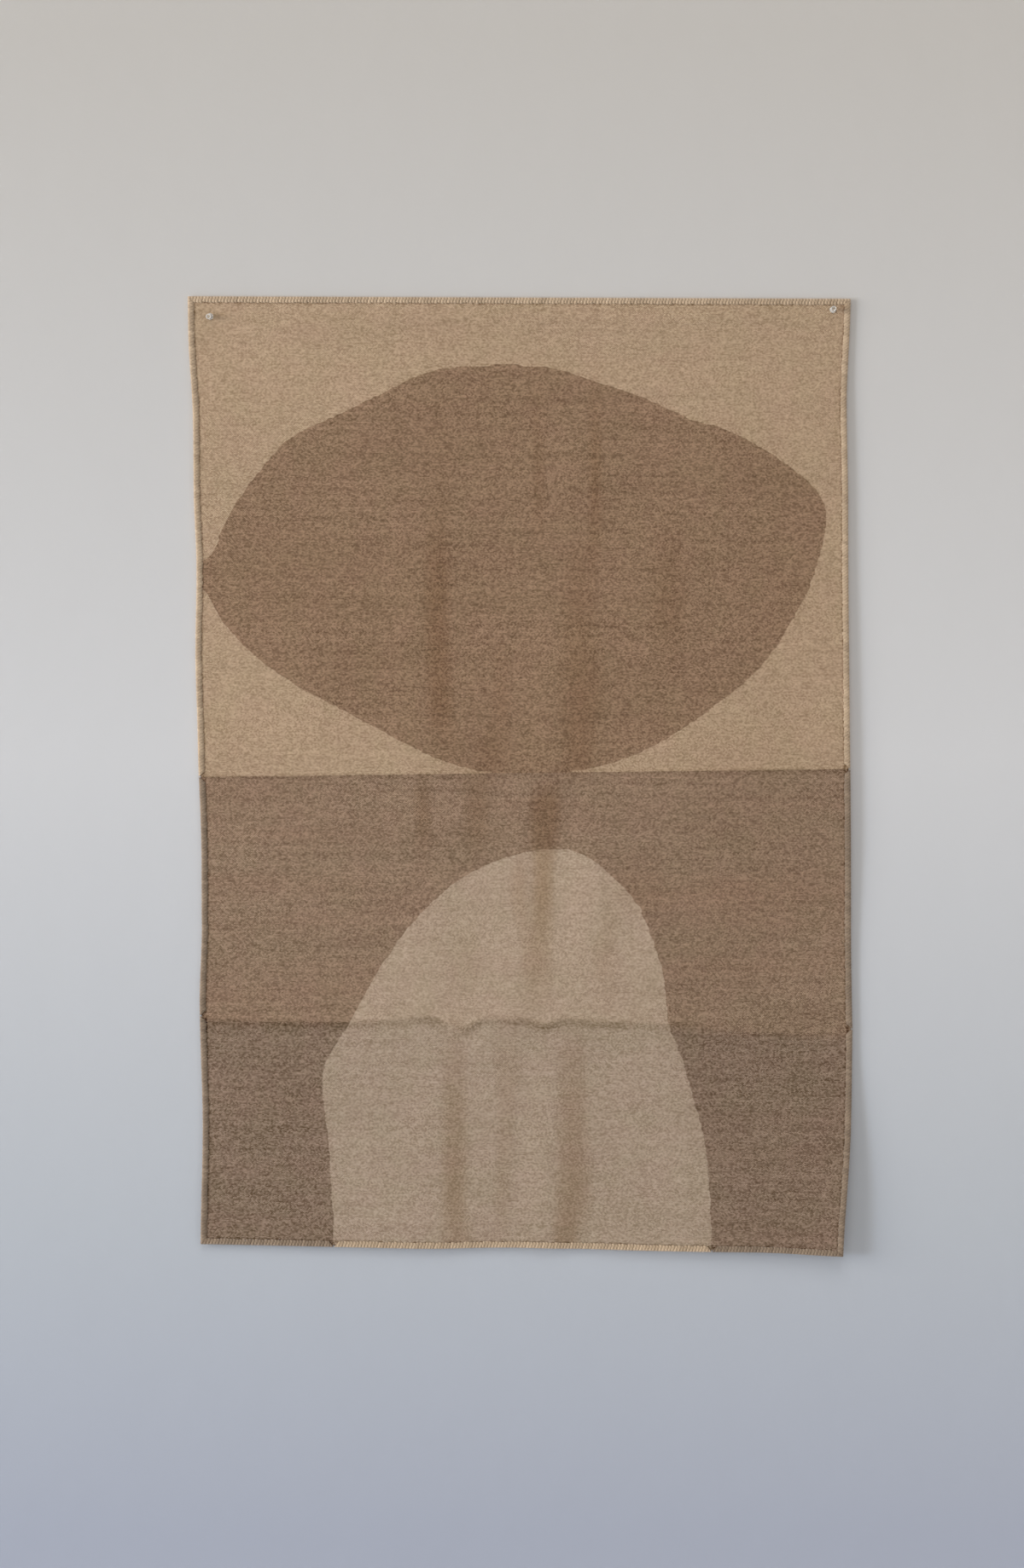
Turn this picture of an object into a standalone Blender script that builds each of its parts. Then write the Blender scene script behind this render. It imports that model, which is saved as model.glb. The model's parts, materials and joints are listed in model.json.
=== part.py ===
"""A flat-woven wool wall hanging with a serged edge, held to the wall by two push pins.

The front faces -Y, +Z is up and the wall's face is the plane y = 0. The origin is on
that plane, midway between the two pins. All sizes are in metres.

The weave has four colour areas: a light ground with a dark oval lying in it, and below
the horizon a brown ground with a light arch standing in it. Every colour area is its
own weft, so it is its own solid. An old fold crosses the hanging low down, where its
lower part can be lifted and folded up in front, so the areas and the edge binding that
cross the crease are divided there.
"""

import math

import bmesh
import bpy
from mathutils import Euler, Matrix, Vector
from mathutils.geometry import interpolate_bezier

for leftover in list(bpy.data.objects):
    bpy.data.objects.remove(leftover, do_unlink=True)

# The hanging's outline as it hangs, at its top edge, its crease and its bottom edge
TOP_WIDTH = 0.900
CREASE_WIDTH = 0.883
BOTTOM_WIDTH = 0.873
UPPER_LENGTH = 0.979  # from the top edge to the crease, down the left side
LOWER_LENGTH = 0.311  # from the crease to the bottom edge
DRAWN_IN = 0.017  # the left side below stands in this far from the top left corner
TOP_SLOPE = 0.0035  # how much lower the right end of each of these three lines is
CREASE_SLOPE = 0.018
BOTTOM_SLOPE = 0.016

# Cloth and binding, through their thickness
CLOTH_THICKNESS = 0.0030
BINDING_WIDTH = 0.0080
BINDING_YARN = 0.0012  # the wrapped yarn over each face of the cloth's edge
EDGE_YARN = 0.0016  # and round its outer edge
CLEARANCE = 0.0003
SEAM = 0.0004  # between two colour areas, and where the binding's yarn is joined

# Push pins. A place is measured in from the side edge and down from the top edge
LEFT_PIN_PLACE = (0.0300, 0.0270)
RIGHT_PIN_PLACE = (0.0245, 0.0152)
LEFT_PIN_LEAN = (math.radians(9), math.radians(-7))  # down, and out to the left
NEEDLE_RADIUS = 0.00055
NEEDLE_REACH = 0.0105  # from under the head to the point
NEEDLE_IN_HEAD = 0.0080
COLLAR_RADIUS = 0.0044
COLLAR_THICKNESS = 0.0014
WAIST_RADIUS = 0.0023
GRIP_RADIUS = 0.0037
HEAD_LENGTH = 0.0115

# The weave's drawing, in shares of the hanging: across, 0 is the left edge and 1 the
# right; down, 0 is the top edge, 1 the crease and 2 the bottom edge
HORIZON_LEFT = 0.668
HORIZON_RIGHT = 0.644
OVAL = [
    (-0.004, 0.384),
    (0.027, 0.355),
    (0.056, 0.299),
    (0.137, 0.205),
    (0.202, 0.172),
    (0.283, 0.137),
    (0.358, 0.105),
    (0.436, 0.095),
    (0.539, 0.096),
    (0.616, 0.116),
    (0.694, 0.140),
    (0.758, 0.166),
    (0.823, 0.184),
    (0.897, 0.222),
    (0.950, 0.262),
    (0.966, 0.297),
    (0.960, 0.335),
    (0.934, 0.407),
    (0.864, 0.505),
    (0.746, 0.590),
    (0.665, 0.630),
    (0.600, 0.648),
    (0.504, 0.661),
    (0.430, 0.653),
    (0.365, 0.637),
    (0.274, 0.596),
    (0.131, 0.526),
    (0.054, 0.465),
    (0.020, 0.418),
]
OVAL_TIP = 0  # the oval's point that reaches the left edge
OVAL_FOOT = 22  # and the one that dips below the horizon
ARCH = [
    (0.208, 2.107),
    (0.206, 1.883),
    (0.196, 1.547),
    (0.187, 1.253),
    (0.213, 1.094),
    (0.239, 0.990),
    (0.282, 0.920),
    (0.325, 0.866),
    (0.387, 0.812),
    (0.455, 0.778),
    (0.527, 0.761),
    (0.586, 0.766),
    (0.638, 0.801),
    (0.676, 0.841),
    (0.700, 0.897),
    (0.712, 0.938),
    (0.718, 0.996),
    (0.739, 1.146),
    (0.755, 1.303),
    (0.774, 1.482),
    (0.787, 1.717),
    (0.798, 2.077),
]
CURVE_STEPS = 4  # straight lines between two points of a drawn outline

WOOL_COLOURS = {
    "light_wool": (0.385, 0.274, 0.175),
    "oval_wool": (0.238, 0.150, 0.088),
    "ground_wool": (0.248, 0.168, 0.108),
    "arch_wool": (0.376, 0.280, 0.196),
    "dark_binding_yarn": (0.290, 0.205, 0.128),
    "light_binding_yarn": (0.430, 0.318, 0.205),
}


# ---- Flat geometry: points are (x, z), a line is a point on it and its direction


def cloth_corners():
    """The six corners, moved so that the origin is midway between the two pins."""
    top_left = Vector((0.0, 0.0))
    top_right = Vector((TOP_WIDTH, -TOP_SLOPE))
    crease_left = Vector((DRAWN_IN, -UPPER_LENGTH))
    crease_right = crease_left + Vector((CREASE_WIDTH, -CREASE_SLOPE))
    bottom_left = Vector((DRAWN_IN, -UPPER_LENGTH - LOWER_LENGTH))
    bottom_right = bottom_left + Vector((BOTTOM_WIDTH, -BOTTOM_SLOPE))
    left_pin = top_left + Vector((LEFT_PIN_PLACE[0], -LEFT_PIN_PLACE[1]))
    right_pin = top_right - Vector(RIGHT_PIN_PLACE)
    middle = (left_pin + right_pin) / 2
    corners = {
        "top_left": top_left,
        "top_right": top_right,
        "crease_left": crease_left,
        "crease_right": crease_right,
        "bottom_left": bottom_left,
        "bottom_right": bottom_right,
        "left_pin": left_pin,
        "right_pin": right_pin,
    }
    return {name: place - middle for name, place in corners.items()}


def line_through(start, end):
    return start, (end - start).normalized()


def moved_in(line, distance):
    """The line moved to its right-hand side, which is inwards on the clockwise edges."""
    start, way = line
    return start + Vector((way.y, -way.x)) * distance, way


def meet(line_a, line_b):
    (start, way), (other_start, other_way) = line_a, line_b
    reach = (other_start - start).cross(other_way) / way.cross(other_way)
    return start + way * reach


def on_cloth(across, down):
    """The point at these shares of the hanging."""
    if down <= 1:
        left = PLACES["top_left"].lerp(PLACES["crease_left"], down)
        right = PLACES["top_right"].lerp(PLACES["crease_right"], down)
    else:
        left = PLACES["crease_left"].lerp(PLACES["bottom_left"], down - 1)
        right = PLACES["crease_right"].lerp(PLACES["bottom_right"], down - 1)
    return left + (right - left) * across


def smooth_through(places, closed):
    """Points along a smooth curve through all the given ones."""
    count = len(places)
    curve = []
    for i in range(count if closed else count - 1):
        before, start, end, after = (
            places[(i + k) % count] if closed else places[min(max(i + k, 0), count - 1)]
            for k in (-1, 0, 1, 2)
        )
        handle = start + (end - before) / 6
        next_handle = end - (after - start) / 6
        piece = interpolate_bezier(start, handle, next_handle, end, CURVE_STEPS + 1)
        curve += piece[:-1]
    if not closed:
        curve.append(places[-1])
    return [Vector((point.x, point.y)) for point in curve]


def grown(outline, distance):
    """A closed clockwise outline moved outwards by the distance."""
    count = len(outline)
    moved = []
    for i in range(count):
        way = (outline[(i + 1) % count] - outline[i - 1]).normalized()
        moved.append(outline[i] + Vector((-way.y, way.x)) * distance)
    return moved


PLACES = cloth_corners()
CLOTH_INSET = EDGE_YARN + CLEARANCE
CLOTH_BACK = -(BINDING_YARN + CLEARANCE)
CLOTH_FRONT = CLOTH_BACK - CLOTH_THICKNESS
BINDING_FRONT = CLOTH_FRONT - CLEARANCE - BINDING_YARN

EDGES = {
    "top": line_through(PLACES["top_left"], PLACES["top_right"]),
    "right_upper": line_through(PLACES["top_right"], PLACES["crease_right"]),
    "right_lower": line_through(PLACES["crease_right"], PLACES["bottom_right"]),
    "bottom": line_through(PLACES["bottom_right"], PLACES["bottom_left"]),
    "left_lower": line_through(PLACES["bottom_left"], PLACES["crease_left"]),
    "left_upper": line_through(PLACES["crease_left"], PLACES["top_left"]),
}
HORIZON = line_through(on_cloth(0, HORIZON_LEFT), on_cloth(1, HORIZON_RIGHT))
CREASE = line_through(PLACES["crease_left"], PLACES["crease_right"])
OVAL_OUTLINE = smooth_through([on_cloth(*share) for share in OVAL], closed=True)
ARCH_OUTLINE = smooth_through([on_cloth(*share) for share in ARCH], closed=False)


# ---- Materials


def principled(name, colour, roughness, metallic=0.0):
    material = bpy.data.materials.new(name)
    material.use_nodes = True
    shader = material.node_tree.nodes["Principled BSDF"]
    shader.inputs["Base Color"].default_value = (*colour, 1.0)
    shader.inputs["Roughness"].default_value = roughness
    shader.inputs["Metallic"].default_value = metallic
    material.diffuse_color = (*colour, 1.0)
    return material


def wool(name):
    return principled(name, WOOL_COLOURS[name], roughness=0.92)


def clear_plastic():
    material = principled("clear_plastic", (0.90, 0.89, 0.87), roughness=0.08)
    shader = material.node_tree.nodes["Principled BSDF"]
    shader.inputs["Transmission Weight"].default_value = 0.9
    return material


def steel():
    return principled("needle_steel", (0.62, 0.61, 0.60), roughness=0.25, metallic=1.0)


# ---- Solids


def add_object(name, mesh_data, material=None):
    """The bmesh as a new object, with its normals facing out."""
    bmesh.ops.recalc_face_normals(mesh_data, faces=mesh_data.faces)
    mesh = bpy.data.meshes.new(name)
    mesh_data.to_mesh(mesh)
    mesh_data.free()
    piece = bpy.data.objects.new(name, mesh)
    bpy.context.scene.collection.objects.link(piece)
    if material:
        mesh.materials.append(material)
    return piece


def make_plate(name, outline, back, front, material=None):
    """A flat plate of this outline between two depths."""
    mesh_data = bmesh.new()
    corners = [mesh_data.verts.new((point.x, back, point.y)) for point in outline]
    face = mesh_data.faces.new(corners)
    extruded = bmesh.ops.extrude_face_region(mesh_data, geom=[face])
    raised = [item for item in extruded["geom"] if isinstance(item, bmesh.types.BMVert)]
    bmesh.ops.translate(mesh_data, verts=raised, vec=(0, front - back, 0))
    return add_object(name, mesh_data, material)


def make_guide(name, outline):
    """A plate that only cuts others. It stands proud of both faces of the cloth."""
    proud = CLOTH_THICKNESS
    guide = make_plate(name, outline, CLOTH_BACK + proud, CLOTH_FRONT - proud)
    hide_guide(guide)
    return guide


def hide_guide(guide):
    guide.hide_render = True
    guide.display_type = "WIRE"


def combine(piece, operation, guide):
    modifier = piece.modifiers.new(guide.name, "BOOLEAN")
    modifier.operation = operation
    modifier.object = guide
    modifier.solver = "EXACT"


def make_area(name, outline, material):
    return make_plate(name, outline, CLOTH_BACK, CLOTH_FRONT, material)


def make_fold_axis():
    """The line that the lower part turns about when it is folded up in front. It lies
    just before the binding, so that the two halves of the binding can meet."""
    axis = bpy.data.objects.new("crease_fold_axis", None)
    bpy.context.scene.collection.objects.link(axis)
    start, way = CREASE
    axis.location = (start.x, BINDING_FRONT - CLEARANCE, start.y)
    axis.rotation_euler = (0, -math.atan2(way.y, way.x), 0)
    return axis


def turn_with(piece, axis):
    """Hangs a piece on an axis without moving it."""
    turned = axis.rotation_euler.to_matrix().to_4x4()
    piece.parent = axis
    piece.matrix_parent_inverse = (Matrix.Translation(axis.location) @ turned).inverted()


def make_fields():
    """Outlines of the cloth above the horizon, from there to the crease, and below."""
    inner = {name: moved_in(line, CLOTH_INSET) for name, line in EDGES.items()}
    above_horizon = moved_in(HORIZON, -SEAM / 2)
    below_horizon = moved_in(HORIZON, SEAM / 2)
    above_crease = moved_in(CREASE, -SEAM / 2)
    below_crease = moved_in(CREASE, SEAM / 2)
    left, right = inner["left_upper"], inner["right_upper"]
    upper = [
        meet(left, inner["top"]),
        meet(inner["top"], right),
        meet(right, above_horizon),
        meet(above_horizon, left),
    ]
    middle = [
        meet(left, below_horizon),
        meet(below_horizon, right),
        meet(right, above_crease),
        meet(above_crease, left),
    ]
    lower = [
        meet(inner["left_lower"], below_crease),
        meet(below_crease, inner["right_lower"]),
        meet(inner["right_lower"], inner["bottom"]),
        meet(inner["bottom"], inner["left_lower"]),
    ]
    return upper, middle, lower


def make_upper_areas():
    """The light ground, in two parts because the oval reaches the left edge and the
    horizon, and the oval between them."""
    top_left, top_right, horizon_right, horizon_left = UPPER_FIELD
    tip = on_cloth(*OVAL[OVAL_TIP])
    foot = on_cloth(*OVAL[OVAL_FOOT])
    above_horizon = moved_in(HORIZON, -SEAM / 2)
    left_edge = moved_in(EDGES["left_upper"], CLOTH_INSET)
    across_tip = (tip, Vector((1, 0)))
    down_foot = (foot, Vector((0, 1)))
    at_tip = meet(left_edge, across_tip)
    at_foot = meet(above_horizon, down_foot)
    ground = make_area(
        "upper_ground",
        [at_tip, top_left, top_right, horizon_right, at_foot],
        wool("light_wool"),
    )
    wedge = make_area(
        "lower_left_ground_wedge",
        [at_tip, at_foot, horizon_left],
        bpy.data.materials["light_wool"],
    )
    round_oval = make_guide("round_oval_guide", grown(OVAL_OUTLINE, SEAM))
    combine(ground, "DIFFERENCE", round_oval)
    combine(wedge, "DIFFERENCE", round_oval)
    oval = make_area("oval_motif", OVAL_OUTLINE, wool("oval_wool"))
    combine(oval, "INTERSECT", make_guide("upper_field_guide", UPPER_FIELD))
    return ground


def make_lower_areas(fold_axis):
    """The brown ground round the arch, and the arch, each divided at the crease."""
    brown = wool("ground_wool")
    light = wool("arch_wool")
    round_arch = make_guide("round_arch_guide", grown(ARCH_OUTLINE, SEAM))
    middle = make_area("middle_ground", MIDDLE_FIELD, brown)
    combine(middle, "DIFFERENCE", round_arch)
    arch_top = make_area("arch_motif_top", ARCH_OUTLINE, light)
    combine(arch_top, "INTERSECT", make_guide("middle_field_guide", MIDDLE_FIELD))
    arch_foot = make_area("arch_motif_foot", ARCH_OUTLINE, light)
    combine(arch_foot, "INTERSECT", make_guide("lower_field_guide", LOWER_FIELD))
    turn_with(arch_foot, fold_axis)
    crease_left, crease_right, bottom_right, bottom_left = LOWER_FIELD
    crease_middle = (crease_left + crease_right) / 2  # inside the arch, which
    bottom_middle = (bottom_left + bottom_right) / 2  # parts the ground beside it
    sides = {
        "lower_left_ground": [crease_left, crease_middle, bottom_middle, bottom_left],
        "lower_right_ground": [crease_middle, crease_right, bottom_right, bottom_middle],
    }
    for name, outline in sides.items():
        side = make_area(name, outline, brown)
        combine(side, "DIFFERENCE", round_arch)
        turn_with(side, fold_axis)


def binding_profile():
    """The wrapped yarn's section: (in from the edge, depth), round outside and open
    on its inner side, where the cloth's edge goes in."""
    middle = BINDING_FRONT / 2
    radius = -middle
    arc_steps = 8
    round_side = []
    for i in range(arc_steps + 1):
        angle = math.pi * i / arc_steps
        round_side.append((radius * (1 - math.sin(angle)), middle + radius * math.cos(angle)))
    lip = BINDING_YARN / 2
    slot_back = CLOTH_BACK + CLEARANCE
    slot_front = CLOTH_FRONT - CLEARANCE
    return [
        (BINDING_WIDTH - lip, 0.0),
        *round_side,
        (BINDING_WIDTH - lip, BINDING_FRONT),
        (BINDING_WIDTH, BINDING_FRONT + lip),
        (BINDING_WIDTH, slot_front),
        (EDGE_YARN, slot_front),
        (EDGE_YARN, slot_back),
        (BINDING_WIDTH, slot_back),
        (BINDING_WIDTH, -lip),
    ]


def make_binding(name, edge, start_line, end_line, material):
    """A length of the binding along one edge, between two lines that cross it."""
    mesh_data = bmesh.new()
    back_off = EDGES[edge][1] * (SEAM / 2)
    rings = []
    for stop, gap in ((start_line, back_off), (end_line, -back_off)):
        ring = []
        for inset, depth in binding_profile():
            point = meet(moved_in(EDGES[edge], inset), stop) + gap
            ring.append(mesh_data.verts.new((point.x, depth, point.y)))
        mesh_data.faces.new(ring)
        rings.append(ring)
    count = len(rings[0])
    for i in range(count):
        following = (i + 1) % count
        side = (rings[0][i], rings[0][following], rings[1][following], rings[1][i])
        mesh_data.faces.new(side)
    return add_object(name, mesh_data, material)


def corner_mitre(corner, edge, next_edge):
    """The line from a corner to where its two edges meet when both are moved in."""
    inside = meet(moved_in(EDGES[edge], 1.0), moved_in(EDGES[next_edge], 1.0))
    return line_through(PLACES[corner], inside)


def make_bindings(fold_axis):
    """Going round clockwise, with the yarn's colour changing where the weave's does."""
    top_left = corner_mitre("top_left", "left_upper", "top")
    top_right = corner_mitre("top_right", "top", "right_upper")
    bottom_right = corner_mitre("bottom_right", "right_lower", "bottom")
    bottom_left = corner_mitre("bottom_left", "bottom", "left_lower")
    bottom_way = EDGES["bottom"][1]
    upright = Vector((-bottom_way.y, bottom_way.x))
    arch_right = (meet(EDGES["bottom"], line_through(*ARCH_OUTLINE[-2:])), upright)
    arch_left = (meet(EDGES["bottom"], line_through(*ARCH_OUTLINE[:2])), upright)
    light = wool("light_binding_yarn")
    dark = wool("dark_binding_yarn")
    lengths = [
        ("top_binding", "top", top_left, top_right, light),
        ("right_upper_binding", "right_upper", top_right, HORIZON, light),
        ("right_middle_binding", "right_upper", HORIZON, CREASE, dark),
        ("right_lower_binding", "right_lower", CREASE, bottom_right, dark),
        ("bottom_right_binding", "bottom", bottom_right, arch_right, dark),
        ("bottom_arch_binding", "bottom", arch_right, arch_left, light),
        ("bottom_left_binding", "bottom", arch_left, bottom_left, dark),
        ("left_lower_binding", "left_lower", bottom_left, CREASE, dark),
        ("left_middle_binding", "left_upper", CREASE, HORIZON, dark),
        ("left_upper_binding", "left_upper", HORIZON, top_left, light),
    ]
    for name, edge, start_line, end_line, material in lengths:
        piece = make_binding(name, edge, start_line, end_line, material)
        if edge in ("right_lower", "bottom", "left_lower"):
            turn_with(piece, fold_axis)


def spin_profile(name, profile, segments, material=None):
    """Turns (radius, height) points about the Y axis, with height towards the front."""
    mesh_data = bmesh.new()
    points = [mesh_data.verts.new((radius, -height, 0)) for radius, height in profile]
    for start, end in zip(points, points[1:]):
        mesh_data.edges.new((start, end))
    bmesh.ops.spin(
        mesh_data,
        geom=mesh_data.verts[:] + mesh_data.edges[:],
        axis=(0, 1, 0),
        cent=(0, 0, 0),
        steps=segments,
        angle=math.tau,
        use_merge=True,
    )
    bmesh.ops.remove_doubles(mesh_data, verts=mesh_data.verts, dist=1e-6)
    return add_object(name, mesh_data, material)


def head_profile(bore_radius):
    """From the bore's closed end down to its mouth, round the collar and up the grip."""
    lip = COLLAR_THICKNESS / 3
    rim = 0.0005
    return [
        (0.0, NEEDLE_IN_HEAD),
        (bore_radius, NEEDLE_IN_HEAD),
        (bore_radius, 0.0),
        (COLLAR_RADIUS - lip, 0.0),
        (COLLAR_RADIUS, lip),
        (COLLAR_RADIUS, COLLAR_THICKNESS),
        (WAIST_RADIUS * 1.25, COLLAR_THICKNESS * 1.9),
        (WAIST_RADIUS, HEAD_LENGTH * 0.40),
        (WAIST_RADIUS * 1.05, HEAD_LENGTH * 0.58),
        (GRIP_RADIUS * 0.86, HEAD_LENGTH * 0.76),
        (GRIP_RADIUS, HEAD_LENGTH * 0.84),
        (GRIP_RADIUS, HEAD_LENGTH - rim),
        (GRIP_RADIUS - rim, HEAD_LENGTH),
        (GRIP_RADIUS * 0.55, HEAD_LENGTH - rim),
        (0.0, HEAD_LENGTH - rim * 1.4),
    ]


def needle_profile(inner_end):
    """From the end inside the head to the point, below the head's underside."""
    taper = NEEDLE_RADIUS * 4
    return [
        (0.0, inner_end),
        (NEEDLE_RADIUS, inner_end),
        (NEEDLE_RADIUS, taper - NEEDLE_REACH),
        (0.0, -NEEDLE_REACH),
    ]


def make_pin(side, lean, ground):
    """A clear push pin through the cloth, on an empty whose Y axis is the needle's."""
    place = PLACES[side + "_pin"]
    holder = bpy.data.objects.new(side + "_pin_axis", None)
    bpy.context.scene.collection.objects.link(holder)
    holder.location = (place.x, 0, place.y)
    turn = Euler((lean[0], 0, lean[1]))
    holder.rotation_euler = turn
    tilt = abs(lean[0]) + abs(lean[1])
    dips = COLLAR_RADIUS * math.sin(tilt)
    seat = (-CLOTH_FRONT + CLEARANCE + dips) / math.cos(tilt)
    bore_radius = NEEDLE_RADIUS + CLEARANCE
    seated = Matrix.Translation((0, -seat, 0))
    plastic = bpy.data.materials.get("clear_plastic") or clear_plastic()
    metal = bpy.data.materials.get("needle_steel") or steel()
    head = spin_profile(side + "_pin_head", head_profile(bore_radius), 28, plastic)
    inner_end = NEEDLE_IN_HEAD - CLEARANCE
    needle = spin_profile(side + "_pin_needle", needle_profile(inner_end), 14, metal)
    for piece in (head, needle):
        piece.data.transform(seated)
        piece.data.shade_smooth()
        piece.data.set_sharp_from_angle(angle=math.radians(40))
        piece.parent = holder
    drill = [(0.0, seat), (bore_radius, seat), (bore_radius, -seat), (0.0, -seat)]
    hole = spin_profile(side + "_needle_hole_guide", drill, 14)
    hole.data.transform(Matrix.Translation(holder.location) @ turn.to_matrix().to_4x4())
    hide_guide(hole)
    combine(ground, "DIFFERENCE", hole)


UPPER_FIELD, MIDDLE_FIELD, LOWER_FIELD = make_fields()
FOLD_AXIS = make_fold_axis()
UPPER_GROUND = make_upper_areas()
make_lower_areas(FOLD_AXIS)
make_bindings(FOLD_AXIS)
make_pin("left", LEFT_PIN_LEAN, UPPER_GROUND)
make_pin("right", (0.0, 0.0), UPPER_GROUND)
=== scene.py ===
import json
import math
import random

import bmesh
import bpy
import numpy as np
from mathutils import Matrix, Vector
from mathutils.bvhtree import BVHTree


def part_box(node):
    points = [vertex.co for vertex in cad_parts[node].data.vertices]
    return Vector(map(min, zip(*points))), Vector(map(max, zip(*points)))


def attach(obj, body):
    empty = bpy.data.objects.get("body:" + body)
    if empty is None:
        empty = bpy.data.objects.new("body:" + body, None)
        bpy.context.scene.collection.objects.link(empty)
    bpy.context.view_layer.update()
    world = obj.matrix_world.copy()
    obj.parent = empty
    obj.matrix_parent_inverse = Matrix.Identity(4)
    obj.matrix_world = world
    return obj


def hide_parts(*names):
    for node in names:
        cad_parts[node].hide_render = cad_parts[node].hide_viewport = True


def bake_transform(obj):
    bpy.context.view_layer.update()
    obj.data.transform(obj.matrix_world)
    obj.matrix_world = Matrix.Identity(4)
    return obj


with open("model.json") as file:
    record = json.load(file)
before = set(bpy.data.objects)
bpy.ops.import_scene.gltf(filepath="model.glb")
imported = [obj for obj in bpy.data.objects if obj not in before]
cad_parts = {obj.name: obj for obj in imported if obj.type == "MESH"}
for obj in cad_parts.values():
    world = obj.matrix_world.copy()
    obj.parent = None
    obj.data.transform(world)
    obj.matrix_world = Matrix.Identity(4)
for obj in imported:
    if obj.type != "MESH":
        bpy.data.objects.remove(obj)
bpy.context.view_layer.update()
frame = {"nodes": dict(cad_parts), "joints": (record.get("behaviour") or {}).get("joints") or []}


# ---- The room it hangs in
# A pale plastered wall, a pale floor below it and soft daylight from the left. The wall
# has only a front: from behind it is clear, so that the back of the hanging can be seen,
# and a lamp behind lights that back through it.

WALL_GAP = 0.0008
WALL_SIZE = 1.5  # half its width and height
WALL_MIDDLE_HEIGHT = -0.4
FLOOR_HEIGHT = -1.90
FLOOR_RADIUS = 6.0
# The room's light painted on the wall, from low to high, brightest in the middle and darkest and
# bluest at the foot: a share of the way up between two heights, and RGB
WALL_HEIGHTS = (-1.75, 0.45)
WALL_PAINTED_LIGHT_COLOURS = [
    (0.04, (0.345, 0.370, 0.447, 1)),
    (0.23, (0.420, 0.444, 0.486, 1)),
    (0.52, (0.540, 0.539, 0.552, 1)),
    (0.97, (0.456, 0.435, 0.413, 1)),
]
WALL_SIDES = (-0.7, 0.7)
# painted shade on the window's side and painted light on the far side, to even out the window's
# light on the wall
WALL_PAINTED_LIGHT_ACROSS = (0.965, 1.075)  # from the window's side to the far one
FLOOR_COLOUR = (0.60, 0.59, 0.57, 1)
HANGING_MIDDLE = (0.0, 0.0, -0.55)
# Each lamp's place, what it is aimed at, its width, power and colour
LAMPS = {
    "window": ((-6.9, -3.2, 0.1), HANGING_MIDDLE, 4.2, 440, (1.0, 0.955, 0.885)),
    "low_sky": ((-5.2, -3.0, -1.3), (0.0, 0.0, -1.3), 1.1, 82, (0.50, 0.71, 1.0)),
    "far_window": ((1.9, -2.7, -0.75), (0.1, 0.0, -0.75), 1.6, 8.5, (1.0, 0.955, 0.90)),
    "back_room": ((-0.6, 3.4, 0.4), HANGING_MIDDLE, 1.6, 92, (1.0, 0.97, 0.93)),
    "ceiling_glow": ((-0.3, -4.0, 4.2), HANGING_MIDDLE, 3.6, 100, (1.0, 0.98, 0.95)),
}
ROOM_LIGHT = (1.0, 0.985, 0.955, 1)
ROOM_LIGHT_STRENGTH = 0.425
EYE = (-0.0135, -4.150, -0.6406)
EYE_LENS = 70


def add_piece(name, bm, *materials):
    """The finished bmesh as an object at the origin."""
    mesh = bpy.data.meshes.new(name)
    bm.to_mesh(mesh)
    bm.free()
    for material in materials:
        mesh.materials.append(material)
    piece = bpy.data.objects.new(name, mesh)
    bpy.context.scene.collection.objects.link(piece)
    return piece


def new_material(name, roughness):
    """A Principled material, with its node tree and its shader."""
    material = bpy.data.materials.new(name)
    material.use_nodes = True
    shader = material.node_tree.nodes["Principled BSDF"]
    shader.inputs["Roughness"].default_value = roughness
    return material, material.node_tree, shader


def add_node(tree, kind, inputs=(), **settings):
    """A node with its settings, and for each input either a link or a value."""
    node = tree.nodes.new(kind)
    for setting, value in settings.items():
        setattr(node, setting, value)
    for socket, value in dict(inputs).items():
        if isinstance(value, bpy.types.NodeSocket):
            tree.links.new(value, node.inputs[socket])
        else:
            node.inputs[socket].default_value = value
    return node


def calculate(tree, operation, *values):
    """One step of arithmetic on links and numbers."""
    return add_node(tree, "ShaderNodeMath", enumerate(values), operation=operation).outputs[0]


def mix_colours(tree, share, first, second, blend="MIX"):
    """Two colours mixed by a share, each of them a link or a value."""
    node = add_node(tree, "ShaderNodeMix", data_type="RGBA", blend_type=blend)
    for socket, value in ((0, share), (6, first), (7, second)):
        if isinstance(value, bpy.types.NodeSocket):
            tree.links.new(value, node.inputs[socket])
        else:
            node.inputs[socket].default_value = value
    return node.outputs[2]


def noise_at(tree, place, scale, detail=2.0, roughness=0.5):
    """Cloudy noise from 0 to 1."""
    inputs = {"Vector": place, "Scale": scale, "Detail": detail, "Roughness": roughness}
    return add_node(tree, "ShaderNodeTexNoise", inputs).outputs["Fac"]


def spread(tree, value, low, high, to_low, to_high):
    """The value carried from one range to another, and kept inside it."""
    inputs = {"Value": value, "From Min": low, "From Max": high}
    inputs.update({"To Min": to_low, "To Max": to_high})
    return add_node(tree, "ShaderNodeMapRange", inputs).outputs["Result"]


def grey_of(tree, value):
    """The value as a grey, to multiply a colour by."""
    return add_node(tree, "ShaderNodeCombineColor", {0: value, 1: value, 2: value}).outputs[0]


def add_relief(tree, shader, height, strength, distance):
    """Relief too fine for the mesh, as bumps in the shading."""
    inputs = {"Height": height, "Strength": strength, "Distance": distance}
    bump = add_node(tree, "ShaderNodeBump", inputs)
    tree.links.new(bump.outputs[0], shader.inputs["Normal"])


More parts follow.
